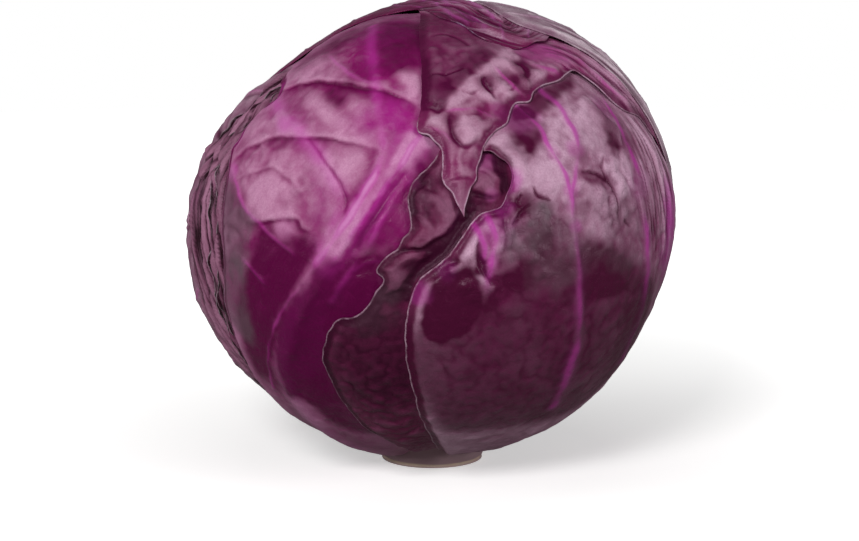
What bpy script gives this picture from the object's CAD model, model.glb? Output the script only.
"""A head of red cabbage on its cut stem. Lengths in the meshes are worked out in millimetres and
turned to metres as each mesh is made. A place on the head is [longitude, latitude] in degrees,
seen from the head's middle: longitude 0 is the front (-Y) and grows to the right (+X), and
latitude 90 is up."""

import math

import bpy
import numpy as np
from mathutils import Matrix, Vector, noise
from mathutils.geometry import delaunay_2d_cdt


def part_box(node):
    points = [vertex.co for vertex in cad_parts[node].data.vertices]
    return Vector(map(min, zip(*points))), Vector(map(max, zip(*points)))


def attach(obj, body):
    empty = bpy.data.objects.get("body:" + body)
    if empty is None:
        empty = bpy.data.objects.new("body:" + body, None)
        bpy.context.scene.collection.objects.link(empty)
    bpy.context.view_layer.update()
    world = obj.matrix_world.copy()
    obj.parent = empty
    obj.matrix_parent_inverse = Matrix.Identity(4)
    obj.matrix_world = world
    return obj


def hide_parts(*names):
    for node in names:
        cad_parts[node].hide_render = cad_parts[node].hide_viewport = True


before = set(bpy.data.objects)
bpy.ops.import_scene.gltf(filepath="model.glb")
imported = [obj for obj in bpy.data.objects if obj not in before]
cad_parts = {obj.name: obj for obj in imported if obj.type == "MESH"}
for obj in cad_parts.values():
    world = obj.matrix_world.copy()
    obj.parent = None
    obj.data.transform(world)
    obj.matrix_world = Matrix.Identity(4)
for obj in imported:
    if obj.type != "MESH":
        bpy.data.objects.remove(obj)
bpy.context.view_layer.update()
MM = 0.001


# --- The cut stem -------------------------------------------------------------------------------
# The stalk that the knife went through at harvest: solid, cream, fibrous flesh with a paler pith
# and a thin purplish rind. The head stands on the cut face, which has dried a little brown.

stem_low, stem_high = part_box("stem")
stem_radius = (stem_high.x - stem_low.x) / 2 / MM
stem_height = stem_high.z / MM
stem_sides = 128
cut_edge_radius = 1.2
saw_mark_height = 0.12
stem_bow = 0.35
rind_width = 2.2
vein_ring_inner = stem_radius - 7
vein_ring_outer = stem_radius - 4
fibre_spacing = 0.7
dried_patch = 12.0


def mottle(points, size, shift=0.0):
    """Smooth noise between about -1 and 1 at each point, with lumps about one size apart."""
    return np.array([noise.noise(p) for p in (points / size + shift).tolist()])


def linear(colour):
    """An sRGB hex colour as the linear values that a shader takes."""
    parts = [int(colour[i:i + 2], 16) / 255 for i in (1, 3, 5)]
    return [p / 12.92 if p <= 0.04045 else ((p + 0.055) / 1.055) ** 2.4 for p in parts] + [1.0]


def add_node(tree, kind, sockets=(), **settings):
    """Adds a node. Its sockets are listed in order or by name, each with a value for it, or with
    the output to link it to, or with a node whose first output in use it is linked to."""
    added = tree.nodes.new("ShaderNode" + kind)
    for name, value in settings.items():
        setattr(added, name, value)
    for name, value in sockets.items() if isinstance(sockets, dict) else enumerate(sockets):
        if isinstance(value, bpy.types.Node):
            value = next(output for output in value.outputs if output.enabled)
        if isinstance(value, bpy.types.NodeSocket):
            tree.links.new(value, added.inputs[name])
        else:
            added.inputs[name].default_value = value
    return added


def new_material(name):
    material = bpy.data.materials.new(name)
    material.use_nodes = True
    material.node_tree.nodes.clear()
    return material, material.node_tree


def band(first, second, count):
    """Faces between two rings of points, given the number of each ring's first point."""
    pairs = [(i, (i + 1) % count) for i in range(count)]
    return [(first + i, first + j, second + j, second + i) for i, j in pairs]


def new_piece(name, points, faces, material, marks=()):
    """A smooth mesh from points in millimetres, with named numbers kept at each point."""
    mesh = bpy.data.meshes.new(name)
    mesh.from_pydata((points * MM).tolist(), [], faces)
    for mark, values in dict(marks).items():
        kind, field = ("FLOAT", "value") if values.ndim == 1 else ("FLOAT_VECTOR", "vector")
        kept = mesh.attributes.new(mark, kind, "POINT").data
        kept.foreach_set(field, values.astype(np.float32).ravel())
    mesh.materials.append(material)
    mesh.shade_smooth()
    piece = bpy.data.objects.new(name, mesh)
    bpy.context.scene.collection.objects.link(piece)
    return piece


# Rings from the middle of the cut face, over its edge and up the side to the top: radius, height.
stem_rings = [(stem_radius * part, 0.0) for part in np.linspace(0.04, 0.9, 16)]
stem_rings += [
    (stem_radius - cut_edge_radius * math.cos(turn), cut_edge_radius * (1 - math.sin(turn)))
    for turn in np.radians([70, 45, 20])
]
stem_rings += [(stem_radius, height) for height in np.linspace(1.6, stem_height - 0.5, 12)]
stem_rings += [(stem_radius * part, stem_height) for part in (0.97, 0.6, 0.2)]
stem_points = np.array([
    (radius * math.sin(turn), -radius * math.cos(turn), height)
    for radius, height in stem_rings
    for turn in np.linspace(0, 2 * math.pi, stem_sides, endpoint=False)
])
on_side = stem_points[:, 2] > 0.1
bow = 1 - stem_bow * (0.5 + 0.5 * mottle(stem_points, 9.0)) / stem_radius
stem_points[on_side, :2] *= bow[on_side, None]
# The knife leaves low marks across the cut, which fade out before the edge that the head stands on.
sawn = np.hypot(stem_points[:, 0], stem_points[:, 1]) < stem_radius - 2.5
saw = saw_mark_height * (1 + mottle(stem_points * [1, 0.12, 1], 1.6)) * sawn
stem_points[~on_side, 2] += saw[~on_side]
stem_faces = []
for ring in range(len(stem_rings) - 1):
    stem_faces += band(ring * stem_sides, (ring + 1) * stem_sides, stem_sides)
stem_faces.append(tuple(reversed(range(stem_sides))))
stem_faces.append(tuple(range(len(stem_points) - stem_sides, len(stem_points))))

# Raw plant flesh: cream and nearly matt, with fibres end-on as fine dots, a ring of veins under
# the rind, and a brown tinge where the air has dried the cut.
cut_stem, tree = new_material("cut_cabbage_stem")
place = add_node(tree, "TexCoord").outputs["Object"]
apart = add_node(tree, "SeparateXYZ", [place])
across = add_node(tree, "CombineXYZ", apart.outputs[:2])
from_axis = add_node(tree, "VectorMath", [across], operation="LENGTH")
veins = add_node(tree, "MapRange", [from_axis, vein_ring_inner * MM, vein_ring_outer * MM])
rind = add_node(tree, "MapRange", [
    from_axis, (stem_radius - rind_width) * MM, (stem_radius - 0.3) * MM,
])
fibre = add_node(tree, "TexVoronoi", {"Vector": across, "Scale": 1 / (fibre_spacing * MM)})
dots = add_node(tree, "MapRange", [fibre, 0.0, 0.5, 0.35, 0.0])
dried = add_node(tree, "TexNoise", {"Vector": place, "Scale": 1 / (dried_patch * MM), "Detail": 5.0})
browned = add_node(tree, "MapRange", [dried, 0.42, 0.72, 0.0, 0.75])
colour = linear("#efe4cb")
for cover, over in ((veins, "#e2d3b0"), (dots, "#bfa77c"), (browned, "#c2a77f"), (rind, "#a98a92")):
    colour = add_node(tree, "Mix", {0: cover, 6: colour, 7: linear(over)}, data_type="RGBA")
raised = add_node(tree, "Bump", {"Height": fibre, "Strength": 0.35, "Distance": 0.15 * MM})
shader = add_node(tree, "BsdfPrincipled", {
    "Base Color": colour, "Normal": raised, "Roughness": 0.62, "IOR": 1.4,
})
add_node(tree, "OutputMaterial", [shader])

stem = new_piece("cut_stem", stem_points, stem_faces, cut_stem)
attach(stem, "root")
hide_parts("stem")


# --- The right back leaf, and how every leaf is laid --------------------------------------------
# The outermost leaf wraps the back of the head on the right, and its pale front edge comes over
# the right shoulder. The leaves are made from the outermost inwards, as a head is peeled, because
# each is pressed in by the ones made before it that cover it.

head_half_width = 80.0
middle_height = 75.0
height_above = 76.0
depth_below = 72.0
mean_radius = 77.0
# Where the head swells or falls in: place, rise in millimetres, and spread in degrees.
swells = [([92, 47], 3.0, 30), ([-92, 51], -5.2, 25), ([85, -22], -4, 22)]
# A leaf's points are one grain apart, and the marks along a line one line step.
grain = 0.6
line_step = 0.9
leaf_thickness = 0.45
# A leaf is pressed in over this many degrees beside the edge of one that covers it.
skirt = 9.0
# An edge settles on the leaf beneath over this width. Further in, a thin gap stays below the
# leaf. The last strip of an edge dips a little, and a bare edge bends out in a wider one.
settling_width = 3.5
gap_below = 0.25
edge_drop = 0.2
edge_drop_width = 2.0
bent_width = 4.5
pale_edge_width = 0.3
# The pale foot of a leaf fades out between these distances from the stem's axis.
foot_fade = (18, 40)
# What stands proud is found beside its surroundings, near and further off, in square millimetres.
near_area = 14
far_area = 90
# A side vein's width where it starts and ends, its height, and how strongly it is coloured.
side_vein_form = (1.5, 0.5, 0.5, 0.5)
side_vein_lean = 0.26
vein_tip = 3.0
# How drawn lines sway: how far, over what length, and which noise they take.
vein_sway = (0.6, 5.0, 9)
ridge_sway = (0.6, 6.0, 10)
fold_sway = (0.8, 6.0, 11)
crease_sway = (0.4, 4.0, 12)
laid = []


def directions(places):
    lon, lat = np.radians(np.asarray(places, float)).T
    return np.stack([np.cos(lat) * np.sin(lon), -np.cos(lat) * np.cos(lon), np.sin(lat)], -1)


def unit(vectors):
    return vectors / np.linalg.norm(vectors, axis=-1, keepdims=True)


def bell(values, width):
    return np.exp(-(values / width) ** 2)


def smooth_step(values, start, end):
    part = np.clip((values - start) / (end - start), 0, 1)
    return part * part * (3 - 2 * part)


def angle_from(place, dirs):
    return np.degrees(np.arccos(np.clip(dirs @ directions([place])[0], -1, 1)))


def outside_radius(dirs):
    """From the middle of the head to its outside."""
    tall = np.where(dirs[:, 2] > 0, height_above, depth_below)
    radius = 1 / np.hypot(np.hypot(dirs[:, 0], dirs[:, 1]) / head_half_width, dirs[:, 2] / tall)
    for place, rise, spread in swells:
        radius = radius + rise * bell(angle_from(place, dirs), spread)
    return radius


def smooth_line(places):
    """Directions about one line step apart along a smooth curve through the places."""
    points = directions(places)
    gaps = np.arccos(np.clip((points[1:] * points[:-1]).sum(1), -1, 1)) * mean_radius
    at = np.concatenate([[0], np.cumsum(gaps)])
    slopes = np.gradient(points, at, axis=0)
    s = np.linspace(0, at[-1], max(3, round(at[-1] / line_step)))
    i = np.clip(np.searchsorted(at, s, side="right") - 1, 0, len(gaps) - 1)
    t, h = ((s - at[i]) / gaps[i])[:, None], gaps[i][:, None]
    line = (1 + 2 * t) * (1 - t) ** 2 * points[i] + t * (1 - t) ** 2 * h * slopes[i]
    line += t * t * (3 - 2 * t) * points[i + 1] + t * t * (t - 1) * h * slopes[i + 1]
    return unit(line)


def nearest(line, dirs):
    """The number of the closest mark on a line to each direction, and the gap to the line in mm."""
    mark = np.empty(len(dirs), int)
    at_once = 20000
    for start in range(0, len(dirs), at_once):
        part = slice(start, start + at_once)
        mark[part] = (dirs[part] @ line.T).argmax(1)
    step = np.gradient(line, axis=0)[mark]
    offset = dirs - line[mark]
    past = np.clip((offset * step).sum(1) / (step ** 2).sum(1), -0.5, 0.5)
    apart = np.linalg.norm(offset - past[:, None] * step, axis=1)
    return mark, 2 * np.arcsin(np.clip(apart / 2, 0, 1)) * mean_radius


def beside(line, dirs):
    """How far each direction lies to the left of a line, in mm, and how far along it, 0 to 1."""
    mark, _ = nearest(line, dirs)
    ahead = unit(np.gradient(line, axis=0))
    offset = (dirs - line[mark]) * mean_radius
    aside = (offset * np.cross(line[mark], ahead[mark])).sum(1)
    past = (offset * ahead[mark]).sum(1)
    last = len(line) - 1
    beyond = ((mark == 0) & (past < 0)) | ((mark == last) & (past > 0))
    aside = np.where(beyond, np.copysign(np.hypot(aside, past), aside), aside)
    step = np.linalg.norm(line[1] - line[0]) * mean_radius
    return aside, np.clip((mark + past / step) / last, 0, 1)


def ring_ahead(ring):
    """Which way a closed ring of points runs at each of them."""
    return unit(np.roll(ring, -1, axis=0) - np.roll(ring, 1, axis=0))


def axes_at(middle):
    east = unit(np.cross([0, 0, 1], middle))
    return east, np.cross(middle, east)


def to_chart(middle, dirs):
    """A flat chart of the head round a middle, in mm, that keeps distance and bearing from it."""
    east, north = axes_at(middle)
    x, y = dirs @ east, dirs @ north
    flat = np.hypot(x, y)
    scale = np.arctan2(flat, dirs @ middle) / np.maximum(flat, 1e-9) * mean_radius
    return np.stack([x * scale, y * scale], -1)


def from_chart(middle, spots):
    east, north = axes_at(middle)
    angle = np.hypot(spots[:, 0], spots[:, 1])[:, None] / mean_radius
    heading = unit(spots + 1e-9)
    flat = heading[:, :1] * east + heading[:, 1:] * north
    return np.cos(angle) * middle + np.sin(angle) * flat


def is_inside(outline, spots):
    inside = np.zeros(len(spots), bool)
    x, y = spots.T
    for (ax, ay), (bx, by) in zip(np.roll(outline, 1, axis=0), outline):
        crosses = (ay > y) != (by > y)
        inside ^= crosses & (x < ax + (bx - ax) * (y - ay) / (by - ay if by != ay else 1))
    return inside


def covering(dirs):
    """How far the leaves already laid press each place in (mm), and how bare it is (0 to 1)."""
    depth = np.zeros(len(dirs))
    bare = np.ones(len(dirs))
    for leaf in laid:
        inside = is_inside(leaf["outline"][::2], to_chart(leaf["middle"], dirs))
        _, gap = nearest(leaf["margin"][::3], dirs)
        degrees = np.where(inside, 0, np.degrees(gap / mean_radius))
        depth += leaf["press"] * (1 - smooth_step(degrees, 0, skirt))
        bare *= smooth_step(degrees, 0.1, 1.5)
    return depth, bare


def spread(patches, dirs, wander):
    """How strongly places are painted. A patch is [place, radius in degrees, amount], or
    [outline, width of its soft edge in millimetres, amount]."""
    total = np.zeros(len(dirs))
    for place, size, amount in patches:
        if np.ndim(place) == 1:
            cover = 1 - smooth_step(angle_from(place, dirs) * wander, 0.45 * size, 1.45 * size)
        else:
            ring = smooth_line([*place, place[0]])
            middle = unit(ring.mean(0))
            inside = is_inside(to_chart(middle, ring[::2]), to_chart(middle, dirs))
            _, gap = nearest(ring, dirs)
            cover = smooth_step(np.where(inside, gap, -gap) + 3 * (wander - 1), -size, size)
        total += amount * cover
    return total


def evened(values, faces, times):
    """Numbers at the points of a mesh, each brought nearer to its neighbours' again and again."""
    ends = np.array([pair for face in faces for pair in zip(face, face[1:] + face[:1])])
    ends = np.concatenate([ends, ends[:, ::-1]])
    count = np.maximum(np.bincount(ends[:, 0], minlength=len(values)), 1)
    for _ in range(times):
        around = np.bincount(ends[:, 0], values[ends[:, 1]], len(values)) / count
        values = (values + around) / 2
    return values


def side_veins(midrib, left, right, count):
    """Side veins that leave the midrib at a narrow angle and bend out to both margins."""
    lines = []
    for margin, shift in ((left, 0.0), (right, 0.5)):
        for number in range(count):
            start = 0.1 + 0.78 * (number + shift) / count
            out = np.linspace(0, 0.93, 9)
            along = np.clip(start + side_vein_lean * out ** 0.8, 0, 0.97)
            rib = midrib[np.round(along * (len(midrib) - 1)).astype(int)]
            edge = margin[np.round(along * (len(margin) - 1)).astype(int)]
            points = unit(rib * (1 - out[:, None]) + edge * out[:, None])
            lon = np.degrees(np.arctan2(points[:, 0], -points[:, 1]))
            lines.append(np.stack([lon, np.degrees(np.arcsin(points[:, 2]))], -1))
    return lines


def leaf_points(leaf, bare_step, back_step, hidden_step, clear):
    """Points over a leaf, on a grid whose steps, in grains, are longer at the back and under other
    leaves, and which keeps clear of the edge by so many grains."""
    low, high = leaf["outline"].min(0), leaf["outline"].max(0)
    row = grain * math.sqrt(3) / 2
    cell = hidden_step
    columns, rows = np.ceil((high - low) / [grain * cell, row * cell]).astype(int) + 1
    i, j = [a.ravel() for a in np.meshgrid(np.arange(columns), np.arange(rows))]
    corners = low + (np.stack([i, j], -1) + 0.5) * [grain * cell, row * cell]
    dirs = from_chart(leaf["middle"], corners)
    _, bare = covering(dirs)
    shown = (bare > 0.001).reshape(rows, columns)
    for axis in (0, 1):
        shown = shown | np.roll(shown, 1, axis) | np.roll(shown, -1, axis)
    front = (-dirs[:, 1] > -0.25).reshape(rows, columns)
    step = np.where(shown, np.where(front, bare_step, back_step), hidden_step)
    i, j = [a.ravel() for a in np.meshgrid(np.arange(columns * cell), np.arange(rows * cell))]
    wanted = step[j // cell, i // cell]
    keep = (i % wanted == 0) & (j % wanted == 0)
    i, j = i[keep], j[keep]
    spots = low + np.stack([(i + 0.5 * (j % 2)) * grain, j * row], -1)
    spots = spots[is_inside(leaf["outline"], spots)]
    _, gap = nearest(leaf["margin"], from_chart(leaf["middle"], spots))
    return spots[gap > clear * grain]


def sheet_faces(spots, ring_count):
    """Triangles between spots in a chart, of which the first ones are the outline."""
    points = [Vector(spot) for spot in spots.tolist()]
    outline = list(range(ring_count))[::-1]
    _, _, faces, origins, _, _ = delaunay_2d_cdt(points, [], [outline], 1, 1e-5)
    return [tuple(origins[i][0] for i in face) for face in faces]


def lay_leaf(
    name, midrib, left, right, material, press=1.8, ragged=0.6, wave=14, wave_size=11, curls=(),
    flow=None, rib=(5.0, 1.6), rib_tint=0.5, veins=(), side_vein_count=0, ridges=(), folds=(),
    creases=(), bulges=(), pucker=0.15, puckers=(), pucker_size=9.0, pleat=0.0, pleats=(),
    pleat_size=(5.0, 60.0), wax=0.45, paint=None,
):
    """Makes one leaf as a closed shell that lies under the leaves already laid. Lines come with
    their widths and heights in millimetres, and spots with their radius in degrees."""
    lines = {"midrib": smooth_line(midrib), "left": smooth_line(left), "right": smooth_line(right)}
    flow_line = smooth_line(flow or midrib)
    margin = np.concatenate([lines["left"], lines["right"][-2:0:-1]])
    ring = len(margin)
    seed = 7.3 * (len(laid) + 1)
    leaf = {"press": press, "middle": lines["midrib"][len(lines["midrib"]) // 2]}

    # The free edge is a little ragged.
    outward = unit(np.cross(margin, ring_ahead(margin)))
    free = smooth_step(margin[:, 2], -0.95, -0.8)
    at_edge = margin * mean_radius
    rough = 0.65 * mottle(at_edge, 7.0, seed) + 0.45 * mottle(at_edge, 2.2, seed)
    margin = unit(margin + outward * (ragged * free * rough / mean_radius)[:, None])
    leaf["margin"] = margin
    leaf["outline"] = to_chart(leaf["middle"], margin)

    # How far the edge bends out, in radians, and how wide the bent strip is.
    _, margin_bare = covering(margin)
    lift = 0.15 + 1.7 * mottle(at_edge, wave_size, seed + 3) + 0.5 * mottle(at_edge, 4.0, seed + 4)
    bend = np.radians(wave) * np.maximum(lift, 0)
    reach = np.full(ring, bent_width)
    for place, half, angle, width in curls:
        weight = bell(angle_from(place, margin), half)
        bend = bend * (1 - weight) + math.radians(angle) * weight
        reach = reach * (1 - weight) + width * weight
    bend = np.maximum(bend * margin_bare * free, 1e-4)

    def shape(spots, faces, inside=False):
        """Positions on the outer or the inner face, and what is painted there."""
        dirs = np.concatenate([margin, from_chart(leaf["middle"], spots[ring:])])
        place = dirs * mean_radius
        depth, bare = covering(dirs)
        wander = 1 + 0.3 * mottle(place, 9.0, seed) + 0.25 * mottle(place, 2.6, seed)
        marks = {
            key: spread((paint or {}).get(key, ()), dirs, wander)
            for key in ("vein", "wax", "dark", "dry", "edge")
        }
        marks["wax"] += wax
        relief = 0.07 * mottle(place, 2.4, seed + 8)

        def follow(line, sway, sway_size, shift):
            """How far places lie to the left of a swaying line and how far along it, how far they
            are from its nearer end in mm, and how it tapers to both ends."""
            course = smooth_line(line)
            aside, along = beside(course, dirs)
            from_end = np.minimum(along, 1 - along) * len(course) * line_step
            taper = np.sin(math.pi * along) ** 0.5
            return aside + sway * mottle(place, sway_size, seed + shift), along, from_end, taper

        # The midrib is broad and high at the stem and dies out towards the tip.
        aside, along = beside(lines["midrib"], dirs)
        form = bell(aside, rib[0] * (1 - 0.7 * along)) * (1 - along ** 2)
        relief += rib[1] * form * (1 - 0.6 * along)
        marks["vein"] = np.maximum(marks["vein"], rib_tint * np.clip(form * 1.3, 0, 1))
        # A vein stands proud, with its colour strongest on its crest and patchy along it.
        patchy = np.clip(0.8 + 1.1 * mottle(place, 9.0, seed + 14), 0.2, 1.1)
        branches = [(line, *side_vein_form) for line in side_veins(*lines.values(), side_vein_count)]
        for line, start, end, height, colour in [*branches, *veins]:
            aside, along, from_end, _ = follow(line, *vein_sway)
            width = start + (end - start) * along
            fade = np.clip(from_end / vein_tip, 0, 1)
            relief += height * bell(aside, width) * fade * (1 - 0.4 * along)
            tint = 0.7 * bell(aside, 0.8 * width) + 0.3 * bell(aside, 2.4 * width)
            marks["vein"] = np.maximum(marks["vein"], colour * tint * fade * patchy)
        # Wax gathers on a ridge, which has a width on each side.
        for line, height, left_width, right_width in ridges:
            aside, _, _, taper = follow(line, *ridge_sway)
            form = bell(aside, np.where(aside > 0, left_width, right_width)) * taper
            relief += height * form
            marks["wax"] += 0.35 * min(height, 1) * form
        # A fold is a step. It throws a thin line of shade and a soft one, and its crest is lighter.
        for line, step, width, crest in folds:
            aside, _, _, taper = follow(line, *fold_sway)
            aside = aside + 0.25 * mottle(place, 2.2, seed + 13)
            relief += 0.5 * step * np.tanh(aside / 0.5) * np.exp(-np.abs(aside) / width) * taper
            fallen = aside if step < 0 else -aside
            shade = 0.5 * bell(fallen - 0.4, 0.6)
            shade += 0.22 * np.exp(-np.abs(fallen) / 3) * smooth_step(fallen, -0.2, 0.6)
            marks["dark"] += taper * shade * min(abs(step), 1.6)
            marks["wax"] += crest * taper * bell(fallen + 0.7, 0.7)
        for line, width, down in creases:
            aside, _, _, taper = follow(line, *crease_sway)
            form = bell(aside, width) * taper
            relief -= down * form
            marks["dark"] += 0.6 * min(down, 0.8) * form
        for spot, radius, height in bulges:
            relief += height * bell(angle_from(spot, dirs) * wander, radius)

        # Blisters stand between sharp little valleys, and pleats run with the leaf.
        blistered = np.clip(pucker + spread(puckers, dirs, wander), 0, None)
        lump = mottle(place, pucker_size, seed + 5)
        lump += 0.4 * mottle(place, pucker_size / 2.6, seed + 6)
        blisters = blistered * (3.4 * np.hypot(lump, 0.05) - 0.9)
        relief += blisters * (1 - 0.6 * np.clip(marks["vein"], 0, 1))
        aside, along = beside(flow_line, dirs)
        flat = np.stack([aside, along * len(flow_line) * line_step, np.zeros(len(dirs))], -1)
        pleated = np.clip(pleat + spread(pleats, dirs, wander), 0, None)
        pleat_width, pleat_length = pleat_size
        furrow = mottle(flat / [pleat_width, pleat_length, 1.0], 1.0, seed + 1)
        furrow += 0.5 * mottle(flat / [pleat_width / 2.4, pleat_length / 2, 1.0], 1.0, seed + 2)
        relief += pleated * (2.8 * np.hypot(furrow, 0.12) - 0.9)
        marks["dark"] += 0.85 * pleated * np.clip(1 - np.abs(furrow) / 0.2, 0, 1)

        # The edge settles on the leaf underneath. A valley doesn't reach that leaf, and a covered
        # part is pressed smooth.
        room = press - leaf_thickness - gap_below
        mark, gap = nearest(margin, dirs)
        relief -= 2 * room * (1 - smooth_step(gap, 0, settling_width))
        relief = np.where(relief < 0, -room * np.tanh(-relief / room), relief) * bare
        # The inner face is smooth, lies lower than any valley, and closes up at the edge.
        inner = smooth_step(gap, 0, settling_width) * inside
        level = relief * (1 - inner) - (room + 0.1) * inner - leaf_thickness * inside
        level -= edge_drop * (1 - smooth_step(gap, 0, edge_drop_width))
        points = dirs * (outside_radius(dirs) - depth + level)[:, None]

        # The edge bends out along an arc, so the strip keeps its width.
        turn = bend[mark] * np.clip(1 - gap / reach[mark], 0, 1)
        arc = reach[mark] / bend[mark]
        points += dirs * (arc * (1 - np.cos(turn)))[:, None]
        points += outward[mark] * (arc * (np.sin(turn) - turn))[:, None]
        points[:, 2] += middle_height

        # Wax gathers on what stands proud of the skin round it, close by and further off, and
        # valleys are dark.
        near = evened(relief, faces, round(near_area / grain ** 2))
        far = evened(near, faces, round(far_area / grain ** 2))
        for proud in (np.clip((relief - near) / 0.3, -1, 1), np.clip((near - far) / 0.5, -1, 1)):
            marks["wax"] += 0.25 * proud
            marks["dark"] += 0.3 * np.maximum(-proud, 0)
        near_stem = 1 - smooth_step(np.hypot(points[:, 0], points[:, 1]), *foot_fade)
        marks["foot"] = near_stem * (points[:, 2] < middle_height)
        marks["edge"] = bell(gap, pale_edge_width) * np.clip(0.3 + 0.7 * bare + marks["edge"], 0, 1)
        marks["rough"] = blistered
        marks["streaky"] = pleated
        marks = {key: np.clip(values, 0, 1) for key, values in marks.items()}
        marks["flow"] = flat
        return points, marks

    outer_spots = np.concatenate([leaf["outline"], leaf_points(leaf, 1, 2, 4, clear=0.45)])
    inner_spots = np.concatenate([leaf["outline"], leaf_points(leaf, 3, 3, 6, clear=1.0)])
    outer_faces = sheet_faces(outer_spots, ring)
    inner_faces = sheet_faces(inner_spots, ring)
    outer, outer_marks = shape(outer_spots, outer_faces)
    inner, inner_marks = shape(inner_spots, inner_faces, inside=True)
    # The edge is half round.
    rim = outer[:ring]
    out = unit(rim - [0, 0, middle_height])
    away = unit(np.cross(out, ring_ahead(rim)))
    rings = []
    for turn in np.radians([45, 90, 135]):
        height = leaf_thickness / 2 * (math.cos(turn) - 1)
        rings.append(rim + out * height + away * leaf_thickness / 2 * math.sin(turn))
    points = np.concatenate([outer, *rings, inner])
    inner_start = len(outer) + len(rings) * ring
    faces = outer_faces + [tuple(inner_start + i for i in reversed(face)) for face in inner_faces]
    starts = [0, *range(len(outer), inner_start + 1, ring)]
    for upper, lower in zip(starts, starts[1:]):
        faces += band(upper, lower, ring)
    marks = {
        key: np.concatenate([values, *[values[:ring]] * len(rings), inner_marks[key]])
        for key, values in outer_marks.items()
    }
    laid.append(leaf)
    piece = new_piece(name.replace("leaf", "wrapper_leaf"), points, faces, material, marks)
    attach(piece, "root")
    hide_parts(name)


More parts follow.
